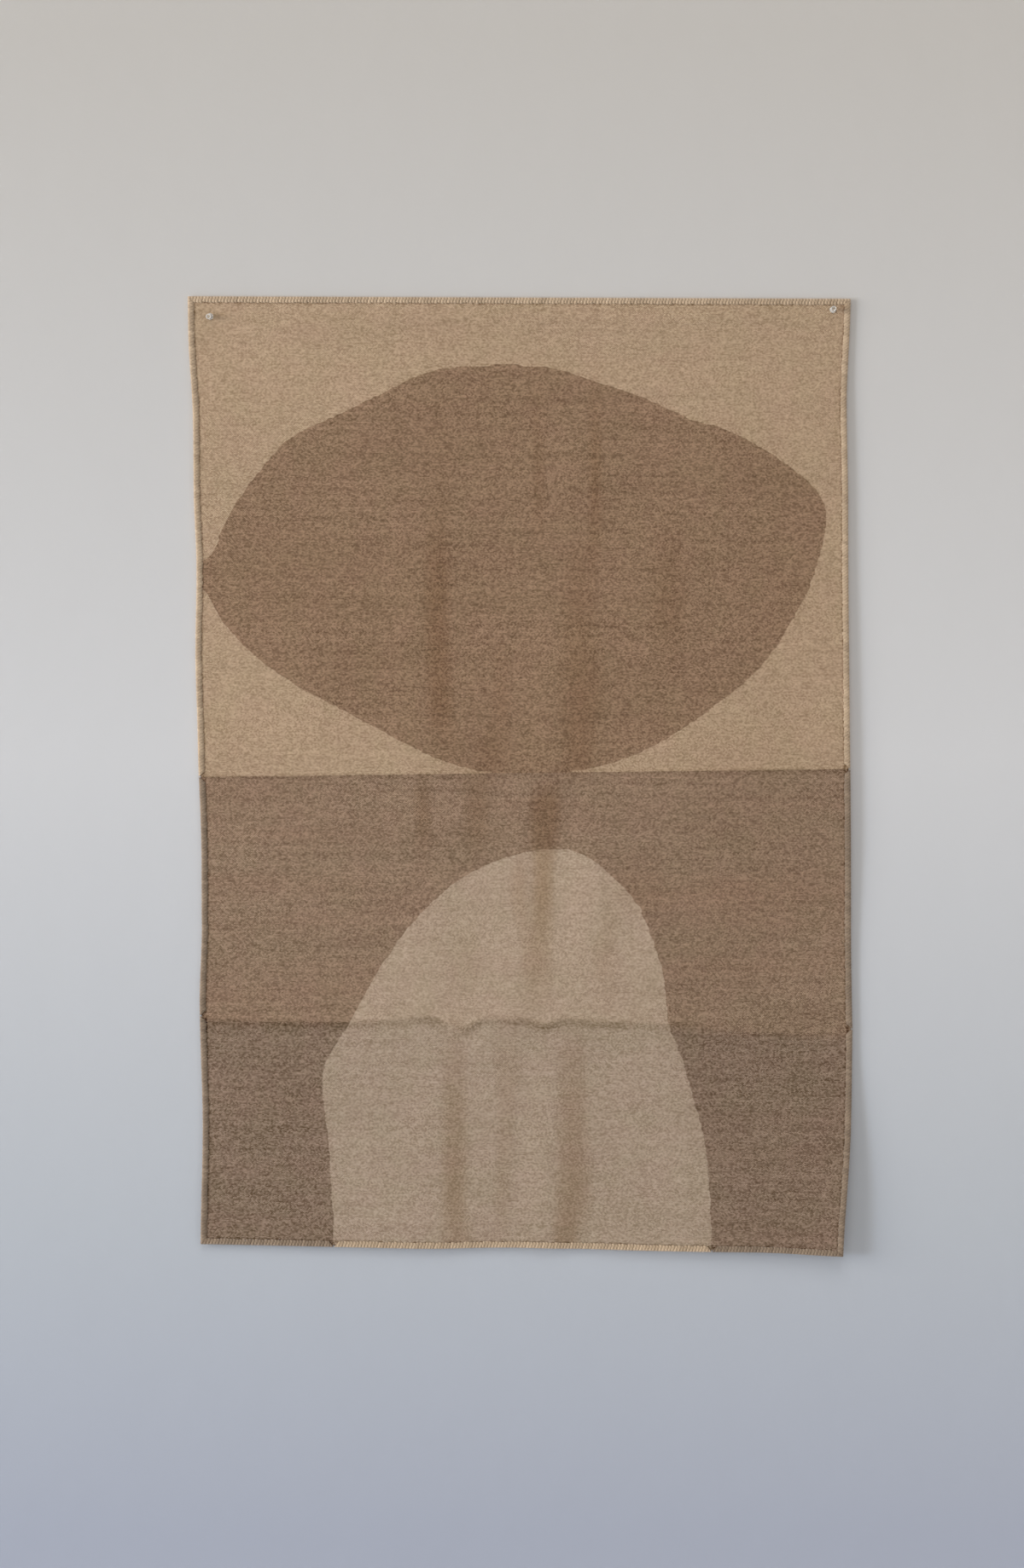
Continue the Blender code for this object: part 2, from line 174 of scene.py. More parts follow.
def plaster():
    """Matt paint on trowelled plaster, with the room's light painted into it: cooler and darker
    towards the floor, and painted even across the window's light.
    """
    material, tree, shader = new_material("wall_plaster", 0.85)
    place = add_node(tree, "ShaderNodeTexCoord").outputs["Object"]
    across, _, height = add_node(tree, "ShaderNodeSeparateXYZ", {0: place}).outputs
    # painted light: the room's light is painted on by height, and the window's light is painted
    # even across
    share = spread(tree, height, *WALL_HEIGHTS, 0.0, 1.0)
    evened = spread(tree, across, *WALL_SIDES, *WALL_PAINTED_LIGHT_ACROSS)
    paint = add_node(tree, "ShaderNodeValToRGB", {0: share})
    stops = paint.color_ramp.elements
    stops[0].position, stops[1].position = WALL_PAINTED_LIGHT_COLOURS[0][0], WALL_PAINTED_LIGHT_COLOURS[-1][0]
    for place_up, _ in WALL_PAINTED_LIGHT_COLOURS[1:-1]:
        stops.new(place_up)
    for stop, (_, colour) in zip(stops, WALL_PAINTED_LIGHT_COLOURS):
        stop.color = colour
    colour = mix_colours(tree, 1.0, paint.outputs[0], grey_of(tree, evened), "MULTIPLY")
    tree.links.new(colour, shader.inputs["Base Color"])
    trowel_marks = noise_at(tree, place, 9.0, 5.0, 0.6)
    add_relief(tree, shader, trowel_marks, strength=0.25, distance=0.004)

    # clear from behind, and to the light that comes from behind
    clear = add_node(tree, "ShaderNodeBsdfTransparent").outputs[0]
    behind = add_node(tree, "ShaderNodeNewGeometry").outputs["Backfacing"]
    is_shadow = add_node(tree, "ShaderNodeLightPath").outputs["Is Shadow Ray"]
    unseen = calculate(tree, "MAXIMUM", behind, is_shadow)
    faced = add_node(tree, "ShaderNodeMixShader", {0: unseen, 1: shader.outputs[0], 2: clear})
    output = tree.nodes["Material Output"]
    tree.links.new(faced.outputs[0], output.inputs["Surface"])
    return material


def add_room():
    """The wall just behind the hanging, and the floor under it."""
    wall = bmesh.new()
    behind = Matrix.Translation((0, WALL_GAP, WALL_MIDDLE_HEIGHT))
    upright = behind @ Matrix.Rotation(math.pi / 2, 4, "X")
    bmesh.ops.create_grid(wall, x_segments=1, y_segments=1, size=WALL_SIZE, matrix=upright)
    floor = bmesh.new()
    down = Matrix.Translation((0, 0, FLOOR_HEIGHT))
    bmesh.ops.create_circle(floor, cap_ends=True, segments=96, radius=FLOOR_RADIUS, matrix=down)
    paint, _, shader = new_material("floor_paint", 0.75)
    shader.inputs["Base Color"].default_value = FLOOR_COLOUR
    add_piece("wall", wall, plaster())
    add_piece("floor", floor, paint)


def add_lamp(name, place, aim, size, power, colour):
    """A round soft lamp turned towards what it is aimed at."""
    lamp = bpy.data.lights.new(name, "AREA")
    lamp.shape = "DISK"
    lamp.size = size
    lamp.energy = power
    lamp.color = colour
    holder = bpy.data.objects.new(name, lamp)
    holder.location = place
    holder.rotation_euler = (Vector(aim) - Vector(place)).to_track_quat("-Z", "Y").to_euler()
    bpy.context.scene.collection.objects.link(holder)


def add_light():
    """The lamps, and the room's own even light."""
    for name, values in LAMPS.items():
        add_lamp(name, *values)
    world = bpy.data.worlds.new("room_light")
    world.use_nodes = True
    background = world.node_tree.nodes["Background"]
    background.inputs["Color"].default_value = ROOM_LIGHT
    background.inputs["Strength"].default_value = ROOM_LIGHT_STRENGTH
    bpy.context.scene.world = world
    bpy.context.scene.view_settings.view_transform = "Standard"


def add_camera():
    """The eye, level and square to the wall."""
    camera = bpy.data.cameras.new("camera")
    camera.lens = EYE_LENS
    camera.sensor_width = 36
    eye = bpy.data.objects.new("camera", camera)
    eye.location = EYE
    eye.rotation_euler = (math.pi / 2, 0, 0)
    bpy.context.scene.collection.objects.link(eye)
    bpy.context.scene.camera = eye


add_room()
add_light()
add_camera()


# ---- How the cloth hangs
# One flat-woven wool cloth, hung on two pins close to the wall, with edges a little out of
# true, soft upright waves and, low down, the ridge of an old fold. All that is woven or sewn
# into it follows that shape, so each piece is made flat and hung by the same function.


def corner(node, across, up):
    """The place (x, z) of the frame node's furthest point to that side."""
    points = [vertex.co for vertex in frame["nodes"][node].data.vertices]
    furthest = max(points, key=lambda point: point.x * across + point.z * up)
    return np.array((furthest.x, furthest.z))


TOP_LEFT = corner("top_binding", -1, 1)
TOP_RIGHT = corner("top_binding", 1, 1)
HORIZON_LEFT = corner("left_upper_binding", -1, -1)
HORIZON_RIGHT = corner("right_upper_binding", 1, -1)
CREASE_LEFT = corner("left_middle_binding", -1, -1)
CREASE_RIGHT = corner("right_middle_binding", 1, -1)
BOTTOM_LEFT = corner("bottom_left_binding", -1, -1)
BOTTOM_RIGHT = corner("bottom_right_binding", 1, -1)
CLOTH_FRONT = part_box("oval_motif")[0].y
CLOTH_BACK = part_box("oval_motif")[1].y

# How far each side edge bows to the right of its true line, by distance below the top edge
LEFT_BOW = [
    (0, -0.0020), (0.05, -0.0020), (0.17, 0.0024), (0.27, 0.0018), (0.36, 0.0038),
    (0.50, 0.0002), (0.60, 0.0014), (0.75, 0.0038), (0.85, 0.0026), (0.966, -0.0022),
    (1.13, 0.0016), (1.30, -0.0012),
]
RIGHT_BOW = [
    (0, 0), (0.15, -0.0056), (0.28, -0.0038), (0.85, 0), (1.13, 0.0038), (1.31, -0.0020),
]
# How far the bottom edge is lifted, by the share of the way across
BOTTOM_LIFT = [
    (0, 0.0010), (0.33, 0.0006), (0.50, 0.0042), (0.75, 0.0036), (0.88, 0.0046), (1, 0.0020),
]

# The waves: at each distance below the top edge, about how many millimetres the cloth stands
# out at places across it. They die out at the sides, and drift a little on their way down.
WAVES_END = 0.45  # this far to each side of the middle
WAVE_UNIT = 0.00106  # metres for each of those millimetres
WAVES = [
    (0.06, []),
    (0.25, [
        (-0.13, 1.0), (-0.09, 0.6), (0.01, 1.4), (0.035, 0.6), (0.09, 1.9), (0.112, 0.7),
        (0.24, 1.2),
    ]),
    (0.42, [
        (-0.19, 1.4), (-0.138, 2.6), (-0.095, 0), (-0.03, 1.4), (0.048, 3.1), (0.105, 1.2),
        (0.172, 2.2), (0.23, 0.4), (0.31, 1.2),
    ]),
    (0.55, [
        (-0.19, 1.7), (-0.132, 2.8), (-0.09, 0.2), (-0.043, 1.4), (-0.012, 0.6), (0.046, 3.6),
        (0.118, 0.2), (0.18, 1.0),
    ]),
    (0.62, [(-0.13, 2.8), (-0.07, 1.8), (-0.012, 0), (0.05, 3.6), (0.103, 1.0), (0.16, 2.4)]),
    (0.70, [
        (-0.345, 1.4), (-0.20, 2.4), (-0.15, 4.4), (-0.122, 3.0), (-0.083, 3.8), (-0.043, 2.0),
        (0.006, 4.8), (0.056, 0), (0.115, 2.2), (0.18, 3.0),
    ]),
    (0.80, [
        (-0.30, 2.4), (-0.10, 3.6), (-0.02, 4.2), (0.01, 3.0), (0.045, 0.2), (0.108, 4.8),
        (0.20, 3.0),
    ]),
    (0.90, [
        (-0.10, 1.4), (-0.05, 0.8), (-0.005, 2.4), (0.045, 0), (0.091, 1.8), (0.132, 0.8),
        (0.18, 2.0),
    ]),
    (0.955, [
        (-0.10, 0.6), (-0.05, 0.3), (-0.005, 0.9), (0.045, 0), (0.091, 0.7), (0.132, 0.3),
        (0.18, 0.6),
    ]),
    (1.00, [
        (-0.175, 0.3), (-0.112, 0.8), (-0.072, 0.2), (-0.043, 0.6), (0.004, 0), (0.045, 0.8),
        (0.091, 0.1), (0.20, 0.6),
    ]),
    (1.04, [
        (-0.175, 0.8), (-0.112, 1.9), (-0.072, 0.6), (-0.043, 1.5), (0.004, 0), (0.045, 2.0),
        (0.091, 0.2), (0.20, 1.6),
    ]),
    (1.12, [
        (-0.18, 1.2), (-0.114, 3.0), (-0.072, 0.6), (-0.037, 1.4), (-0.010, 0.6), (0.042, 3.4),
        (0.092, 0.6), (0.172, 1.8),
    ]),
    (1.22, [
        (-0.112, 4.6), (-0.072, 1.6), (-0.04, 2.0), (-0.0135, 1.2), (0.04, 4.0), (0.098, 0),
        (0.15, 0.8), (0.22, 2.4),
    ]),
    (1.31, [(-0.112, 5.0), (-0.06, 2.2), (-0.01, 2.2), (0.04, 4.0), (0.08, 0), (0.15, 2.6)]),
]

# The old fold: its height by distance above its line, and how far it wanders up or down
RIDGE = [(-0.08, 0), (-0.022, 0.0003), (-0.0075, -0.0002), (0, 0.0018), (0.018, 0.0002), (0.05, 0)]
RIDGE_WANDER = [
    (-0.45, -0.003), (-0.36, -0.0044), (-0.217, -0.0038), (-0.176, 0.0007), (-0.132, 0.0060),
    (-0.075, -0.0080), (-0.050, 0.0043), (-0.003, 0.0042), (0.031, -0.0027), (0.060, 0.0066),
    (0.103, 0.0026), (0.150, 0.0026), (0.323, -0.0044), (0.400, -0.0065), (0.45, -0.004),
]
RIDGE_STRENGTH = [(-0.45, 0.6), (-0.40, 1), (0.20, 1), (0.28, 0.6), (0.36, 0.45), (0.45, 0.25)]
# How strong the painted shade in the crook under the ridge is, along the fold
FOLD_SHADE = [
    (-0.45, 0.9), (-0.24, 1.1), (-0.155, 0.7), (-0.128, 1.3), (-0.098, 0.7), (-0.070, 1.9),
    (-0.040, 0.8), (-0.006, 1.4), (0.026, 1.6), (0.060, 1.1), (0.115, 1.2), (0.20, 0.8),
    (0.30, 0.7), (0.45, 0.4),
]
# How far each side edge stands off the wall, by distance below the top edge
LEFT_STAND_OFF = [(0.05, 0), (0.25, 0.0012), (0.90, 0.0004), (1.00, 0.0004), (1.30, 0.0030)]
RIGHT_STAND_OFF = [
    (0.04, 0), (0.20, 0.0020), (0.70, 0.0050), (0.94, 0.0010), (1.00, 0.0010), (1.30, 0.0175),
]


def through(stops, where):
    """A smooth run of values between given ones, level at each of them."""
    places, values = np.array(stops, float).T
    index = np.clip(np.searchsorted(places, where) - 1, 0, len(places) - 2)
    share = np.clip((where - places[index]) / (places[index + 1] - places[index]), 0, 1)
    share = share * share * (3 - 2 * share)
    return values[index] + (values[index + 1] - values[index]) * share


def left_edge(z):
    """The x of the frame's left edge at this height."""
    line = np.array((BOTTOM_LEFT, CREASE_LEFT, TOP_LEFT))
    return np.interp(z, line[:, 1], line[:, 0])


def right_edge(z):
    """The x of the frame's right edge at this height."""
    line = np.array((BOTTOM_RIGHT, CREASE_RIGHT, TOP_RIGHT))
    return np.interp(z, line[:, 1], line[:, 0])


def share_across(x, z):
    """The share of the way from the left edge to the right one."""
    return (x - left_edge(z)) / (right_edge(z) - left_edge(z))


def between(left, right, share):
    """The z on the straight line between two corners."""
    return left[1] + (right[1] - left[1]) * share


def wave_height(x, below_top):
    """The height of the waves, run smoothly from each level of them to the next."""
    levels = np.array([level for level, _ in WAVES])
    height = np.zeros_like(x)
    for index, (level, stops) in enumerate(WAVES):
        reach = [(level, 1)]
        if index > 0:
            reach.insert(0, (levels[index - 1], 0))
        if index < len(WAVES) - 1:
            reach.append((levels[index + 1], 0))
        strength = through(reach, below_top)
        run = [(-WAVES_END, 0), *stops, (WAVES_END, 0)]
        height += through(run, x) * strength * WAVE_UNIT
    return height


def above_fold(x, z):
    """How far a place lies above the old fold's own wandering line."""
    share = (x - CREASE_LEFT[0]) / (CREASE_RIGHT[0] - CREASE_LEFT[0])
    return z - between(CREASE_LEFT, CREASE_RIGHT, share) - through(RIDGE_WANDER, x)


def points_of(mesh):
    """The mesh's points, as rows of x, y and z."""
    places = np.empty(len(mesh.vertices) * 3)
    mesh.vertices.foreach_get("co", places)
    return places.reshape(-1, 3)


def move_points(mesh, places):
    """Puts the mesh's points at those places."""
    mesh.vertices.foreach_set("co", places.ravel())
    mesh.update()


def hang(piece):
    """Moves a piece made flat in the frame's plane to where it hangs."""
    places = points_of(piece.data)
    x, z = places[:, 0].copy(), places[:, 2].copy()
    below_top = TOP_LEFT[1] - z
    share = np.clip(share_across(x, z), 0, 1)
    # a bow fades out towards the other side, and the bottom's lift towards the horizon
    places[:, 0] += through(LEFT_BOW, below_top) * (1 - share) ** 2
    places[:, 0] += through(RIGHT_BOW, below_top) * share ** 2
    bottom = between(BOTTOM_LEFT, BOTTOM_RIGHT, share)
    low_share = np.clip(1 - (z - bottom) / (HORIZON_LEFT[1] - BOTTOM_LEFT[1]), 0, 1)
    places[:, 2] += through(BOTTOM_LIFT, share) * low_share ** 3
    ridge = through(RIDGE, above_fold(x, z)) * through(RIDGE_STRENGTH, x)
    stand_off = through(RIGHT_STAND_OFF, below_top) * share ** 4
    stand_off += through(LEFT_STAND_OFF, below_top) * (1 - share) ** 4
    places[:, 1] -= wave_height(x, below_top) + ridge + stand_off
    move_points(piece.data, places)


# ---- The weave
# Weft-faced plain weave: each colour area is its own wool weft, beaten down over the warp
# and turned back where the next colour starts, so a curve climbs in small steps. All areas
# are cut from one net of cells, a little wider than a warp cord and two passes high.

CELL_WIDTH = 0.0035
CELL_HEIGHT = 0.0031
TURN_BACK = 0.0010  # every other row reaches this much further before it turns
UNEVEN = 0.0005  # the rows differ by up to this much
ROWS_SEED = 7
HORIZON_REACH_DOWN = -0.0012  # the row on the horizon is sorted by its foot, to keep thin tips
SELVEDGE = 0.0025  # the cloth's own edge lies this far inside the binding's
SOFTENED_TIMES = 3
SOFTENED_SHARE = 0.5
WARP_PITCH = 0.00233
WEFT_PITCH = 0.0031
WAVE_STEP = 0.008  # a wave's slope is taken over this length
CAD_CLOTH = {
    "upper_ground": "upper_ground_weave",
    "lower_left_ground_wedge": "wedge_weave",
    "oval_motif": "oval_weave",
    "middle_ground": "lower_ground_weave",
    "lower_left_ground": "lower_ground_weave",
    "lower_right_ground": "lower_ground_weave",
    "arch_motif_top": "arch_weave",
    "arch_motif_foot": "arch_weave",
}


def weave_net():
    """The whole cloth as one flat net of cells, its rows level with the horizon."""
    columns = round((TOP_RIGHT[0] - TOP_LEFT[0]) / CELL_WIDTH)
    rows_above = round((TOP_LEFT[1] - HORIZON_LEFT[1]) / CELL_HEIGHT)
    rows_below = round((HORIZON_LEFT[1] - BOTTOM_LEFT[1]) / CELL_HEIGHT)
    rows = rows_above + rows_below
    net = bmesh.new()
    turned = Matrix.Rotation(math.pi / 2, 4, "X")
    bmesh.ops.create_grid(net, x_segments=columns, y_segments=rows, size=1, matrix=turned)
    mesh = bpy.data.meshes.new("weave_net")
    net.to_mesh(mesh)
    net.free()
    places = points_of(mesh)
    share = (places[:, 0] + 1) / 2
    row = (1 - places[:, 2]) / 2 * rows
    top = between(TOP_LEFT, TOP_RIGHT, share) - SELVEDGE
    horizon = between(HORIZON_LEFT, HORIZON_RIGHT, share)
    bottom = between(BOTTOM_LEFT, BOTTOM_RIGHT, share) + SELVEDGE
    upper_z = top + (horizon - top) * row / rows_above
    lower_z = horizon + (bottom - horizon) * (row - rows_above) / rows_below
    z = np.where(row < rows_above, upper_z, lower_z)
    left, right = left_edge(z) + SELVEDGE, right_edge(z) - SELVEDGE
    places[:, 0] = left + (right - left) * share
    places[:, 1] = CLOTH_FRONT
    places[:, 2] = z
    move_points(mesh, places)
    return mesh, row, rows_above


def sort_cells(mesh, row, rows_above):
    """The name of the colour area that each cell of the net belongs to."""
    points, faces, owners = [], [], []
    for node, area in CAD_CLOTH.items():
        data = frame["nodes"][node].data
        first = len(points)
        points += [vertex.co.copy() for vertex in data.vertices]
        for face in data.polygons:
            faces.append([first + index for index in face.vertices])
            owners.append(area)
    tree = BVHTree.FromPolygons(points, faces)
    chance = random.Random(ROWS_SEED)
    uneven = [chance.uniform(-UNEVEN, UNEVEN) for _ in range(int(row.max()) + 2)]
    areas = []
    for face in mesh.polygons:
        level = int(min(row[index] for index in face.vertices) + 0.5)
        shift = TURN_BACK if level % 2 else -TURN_BACK
        lower = HORIZON_REACH_DOWN if level == rows_above - 1 else uneven[level]
        place = face.center + Vector((shift, 0, lower))
        areas.append(owners[tree.find_nearest(place)[2]])
    return areas


def soften_steps(mesh, areas):
    """Draws each step of a curve halfway to its neighbours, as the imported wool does."""
    sides = {}
    for face, area in zip(mesh.polygons, areas):
        for loop in face.loop_indices:
            sides.setdefault(mesh.loops[loop].edge_index, []).append(area)
    ends, rim = [], set()
    for index, pair in sides.items():
        if len(pair) == 1:
            rim.update(mesh.edges[index].vertices)
        elif pair[0] != pair[1]:
            ends.append(mesh.edges[index].vertices[:])
    ends = np.array(ends)
    places = points_of(mesh)
    for _ in range(SOFTENED_TIMES):
        total = np.zeros_like(places)
        count = np.zeros(len(places))
        for near, far in ((0, 1), (1, 0)):
            np.add.at(total, ends[:, near], places[ends[:, far]])
            np.add.at(count, ends[:, near], 1)
        moved = np.flatnonzero(count >= 2)
        moved = moved[~np.isin(moved, list(rim))]
        middles = total[moved] / count[moved, None]
        places[moved] += (middles - places[moved]) * SOFTENED_SHARE
    move_points(mesh, places)


def edge_distance(x, z):
    """How far a place lies in from the nearest edge of the hanging."""
    share = share_across(x, z)
    to_top = between(TOP_LEFT, TOP_RIGHT, share) - z
    to_bottom = z - between(BOTTOM_LEFT, BOTTOM_RIGHT, share)
    return np.minimum.reduce((to_top, to_bottom, x - left_edge(z), right_edge(z) - x))


def keep_on_points(piece, name, values):
    """Keeps a value or a vector for each point of a piece, for its material to read."""
    values = np.asarray(values, np.float32)
    kind, field = ("FLOAT", "value") if values.ndim == 1 else ("FLOAT_VECTOR", "vector")
    piece.data.attributes.new(name, kind, "POINT").data.foreach_set(field, values.ravel())


def mark_cloth(piece):
    """Keeps where each point lies on the flat cloth, and which side of a wave it is on."""
    places = points_of(piece.data)
    x, z = places[:, 0], places[:, 2]
    below_top = TOP_LEFT[1] - z
    before, after = x - WAVE_STEP / 2, x + WAVE_STEP / 2
    fall = (wave_height(before, below_top) - wave_height(after, below_top)) / WAVE_STEP
    horizon = between(HORIZON_LEFT, HORIZON_RIGHT, share_across(x, z))
    keep_on_points(piece, "on_flat_cloth", np.stack((x, z, edge_distance(x, z)), axis=1))
    keep_on_points(piece, "wave_fall", fall)
    keep_on_points(piece, "below_horizon", horizon - z)
    keep_on_points(piece, "above_fold", above_fold(x, z))
    keep_on_points(piece, "fold_shade", through(FOLD_SHADE, x))


def new_group(name, inputs, outputs):
    """An empty node group, and its own named sockets: what it is given and what it puts out."""
    group = bpy.data.node_groups.new(name, "ShaderNodeTree")
    for side, sockets in (("INPUT", inputs), ("OUTPUT", outputs)):
        for socket, kind in sockets.items():
            group.interface.new_socket(socket, in_out=side, socket_type="NodeSocket" + kind)
    given = group.nodes.new("NodeGroupInput").outputs
    out = group.nodes.new("NodeGroupOutput").inputs
    return group, given, out


def kept_value(tree, name):
    """A value kept on the piece's points."""
    return add_node(tree, "ShaderNodeAttribute", attribute_name=name).outputs["Fac"]


def add_up(tree, first, *others):
    """The sum of several links and numbers."""
    for value in others:
        first = calculate(tree, "ADD", first, value)
    return first


def rise_and_fall(tree, value):
    """A round rise from 0 to 1 and back in each whole step of the value."""
    part = calculate(tree, "FRACT", value)
    return calculate(tree, "SINE", calculate(tree, "MULTIPLY", part, math.pi))


def drawn_noise(tree, place, scales, detail, roughness):
    """Cloudy noise with its own scale along each axis, and so drawn out into lines."""
    drawn = add_node(tree, "ShaderNodeVectorMath", {0: place, 1: scales}, operation="MULTIPLY")
    return noise_at(tree, drawn.outputs[0], 1.0, detail, roughness)


def close_to(tree, value, target, near, far, strength):
    """The whole strength where the value is near its target, and none far from it."""
    away = calculate(tree, "ABSOLUTE", calculate(tree, "SUBTRACT", value, target))
    return spread(tree, away, near, far, strength, 0.0)


def even(tree, noise, reach):
    """Noise, which lies mostly from 0.3 to 0.7, carried to as far below 0 as above it."""
    return spread(tree, noise, 0.3, 0.7, -reach, reach)


def wool_weave_group():
    """Weft beads over warp cords, with the wool's own flecks, streaks and dirt, and painted shade
    in the stitch dents, at the old fold and on the waves.
    """
    group, given, out = new_group(
        "wool_weave",
        {
            "Wool": "Color", "Streak Wool": "Color", "Heather": "Float", "Streaks": "Float",
            "Painted Shade Below Fold": "Float",
        },
        {"Color": "Color", "Height": "Float", "Roughness": "Float"},
    )
    flat = add_node(group, "ShaderNodeAttribute", attribute_name="on_flat_cloth").outputs["Vector"]
    across, up, inset = add_node(group, "ShaderNodeSeparateXYZ", {0: flat}).outputs

    # beads: a weft passes over every other warp cord, and the next row over the others
    row = calculate(group, "DIVIDE", up, WEFT_PITCH / 2)
    row_number = calculate(group, "FLOOR", row)
    odd = calculate(group, "PINGPONG", row_number, 1.0)
    cord = calculate(group, "DIVIDE", across, WARP_PITCH)
    cord = calculate(group, "MULTIPLY_ADD", odd, 0.5, cord)
    cord_number = calculate(group, "FLOOR", cord)
    over_row = calculate(group, "SQRT", rise_and_fall(group, row))
    bead = calculate(group, "MULTIPLY", rise_and_fall(group, cord), over_row)
    bead_place = add_node(group, "ShaderNodeCombineXYZ", {0: cord_number, 1: row_number})
    bead_inputs = {"Vector": bead_place.outputs[0]}
    bead_tone = add_node(group, "ShaderNodeTexWhiteNoise", bead_inputs, noise_dimensions="2D")

    # heather: fibres of several shades in one yarn
    heather = noise_at(group, flat, 380.0, 2.0, 0.65)
    yarn = drawn_noise(group, flat, (45.0, 420.0, 0.0), 2.0, 0.6)
    speckle = add_up(
        group,
        even(group, heather, 0.08),
        spread(group, bead_tone.outputs["Value"], 0, 1, -0.46, 0.46),
        even(group, yarn, 0.16),
    )
    speckle = calculate(group, "MULTIPLY", speckle, given["Heather"])

    # streaks: each new length of yarn differs a little, and runs level across
    streak = drawn_noise(group, flat, (3.2, 105.0, 0.0), 4.0, 0.62)
    band = drawn_noise(group, flat, (1.1, 17.0, 0.0), 3.0, 0.6)
    streaks = calculate(group, "ADD", even(group, streak, 1), even(group, band, 0.6))
    streaks = calculate(group, "MULTIPLY", streaks, given["Streaks"])

    # soft dirt and handling, in patches a hand wide
    patch = even(group, noise_at(group, flat, 7.0, 3.0, 0.55), 0.035)
    mottle = even(group, noise_at(group, flat, 55.0, 2.0, 0.6), 0.025)
    patch = calculate(group, "ADD", patch, mottle)

    # specks of plant and slubs, a few in every hand's width
    fleck_inputs = {"Vector": flat, "Scale": 85.0, "Randomness": 1.0}
    flecks = add_node(group, "ShaderNodeTexVoronoi", fleck_inputs).outputs
    fleck_tone = add_node(group, "ShaderNodeSeparateColor", {0: flecks["Color"]}).outputs
    near_fleck = spread(group, flecks["Distance"], 0.05, 0.11, 1.0, 0.0)
    is_dark = calculate(group, "GREATER_THAN", fleck_tone[0], 0.93)
    is_pale = calculate(group, "GREATER_THAN", fleck_tone[1], 0.95)
    dark_fleck = calculate(group, "MULTIPLY", near_fleck, is_dark)
    pale_fleck = calculate(group, "MULTIPLY", near_fleck, is_pale)

    # shade in the dents where the binding's stitches go in
    dent_noise = spread(group, noise_at(group, flat, 240.0, 1.0, 0.5), 0.38, 0.62, 0.10, 0.48)
    dent = calculate(group, "MULTIPLY", spread(group, inset, 0.0088, 0.0112, 1.0, 0.0), dent_noise)

    # painted shade: the part below the fold is painted darker and greyer, and the crook under the
    # ridge and the hollow below it are painted darker
    above_fold_line = kept_value(group, "above_fold")
    below = spread(group, above_fold_line, -0.012, 0, 1.0, 0.0)
    painted_shade_below_fold = calculate(group, "MULTIPLY", below, given["Painted Shade Below Fold"])
    crook_noise = spread(group, noise_at(group, flat, 22.0, 1.0, 0.5), 0.38, 0.62, 0.11, 0.19)
    crook = close_to(group, above_fold_line, -0.0034, 0.0004, 0.0088, 1.0)
    crook = calculate(group, "MULTIPLY", crook, crook_noise)
    hollow = close_to(group, above_fold_line, -0.0085, 0.001, 0.0125, 0.062)
    crook = calculate(group, "ADD", crook, hollow)
    crook = calculate(group, "MULTIPLY", crook, kept_value(group, "fold_shade"))
    horizon_line = close_to(group, kept_value(group, "below_horizon"), 0.0024, 0.0012, 0.0060, 0.12)

    # painted shade in the hollows between the beads, and a little painted light on their tops
    tone = add_up(group, speckle, streaks, patch, spread(group, bead, 0, 1, -0.13, 0.05))
    tone = calculate(group, "MULTIPLY_ADD", dark_fleck, -0.30, tone)
    tone = calculate(group, "MULTIPLY_ADD", pale_fleck, 0.30, tone)
    for shade in (dent, painted_shade_below_fold, crook, horizon_line):
        tone = calculate(group, "SUBTRACT", tone, shade)

    # the wool's own hue drifts between a pinker and a greener beige
    pinker = spread(group, noise_at(group, flat, 19.0, 2.0, 0.5), 0.35, 0.65, -0.010, 0.010)
    red = calculate(group, "ADD", calculate(group, "MULTIPLY_ADD", tone, 0.90, 1.0), pinker)
    green = calculate(group, "MULTIPLY_ADD", tone, 1.00, 1.0)
    green = calculate(group, "MULTIPLY_ADD", pinker, -0.5, green)
    blue = calculate(group, "ADD", calculate(group, "MULTIPLY_ADD", tone, 1.14, 1.0), pinker)
    lit = add_node(group, "ShaderNodeCombineColor", {0: red, 1: green, 2: blue}).outputs[0]

    # painted shade: the side of each wave that turns from the window is painted darker and browner,
    # with the brown of the stains along the waves; below the fold the painted shade is greyer
    streaked = spread(group, band, 0.42, 0.68, 0, 1)
    wool = mix_colours(group, streaked, given["Wool"], given["Streak Wool"])
    stain_and_wave_shade = spread(group, kept_value(group, "wave_fall"), 0.0, 0.12, 0.0, 1.0)
    wool = mix_colours(group, stain_and_wave_shade, wool, (0.865, 0.79, 0.70, 1), "MULTIPLY")
    grey_inputs = {"Saturation": 0.55, "Color": wool}
    grey = add_node(group, "ShaderNodeHueSaturation", grey_inputs).outputs[0]
    wool = mix_colours(group, calculate(group, "MULTIPLY", painted_shade_below_fold, 1.5), wool, grey)

    group.links.new(mix_colours(group, 1.0, wool, lit, "MULTIPLY"), out["Color"])
    group.links.new(calculate(group, "MULTIPLY_ADD", heather, 0.5, bead), out["Height"])
    group.links.new(spread(group, heather, 0.3, 0.7, 0.86, 0.97), out["Roughness"])
    return group


WOOL_WEAVE = wool_weave_group()


def soft_wool(name, roughness, group, relief_strength, relief_depth, sheen):
    """Matt, slightly hairy wool whose pattern comes from a node group."""
    material, tree, shader = new_material(name, roughness)
    pattern = add_node(tree, "ShaderNodeGroup", node_tree=group)
    tree.links.new(pattern.outputs["Color"], shader.inputs["Base Color"])
    add_relief(tree, shader, pattern.outputs["Height"], relief_strength, relief_depth)
    shader.inputs["Specular IOR Level"].default_value = 0.2
    shader.inputs["Sheen Weight"].default_value = sheen
    shader.inputs["Sheen Roughness"].default_value = 0.6
    return material, tree, shader, pattern


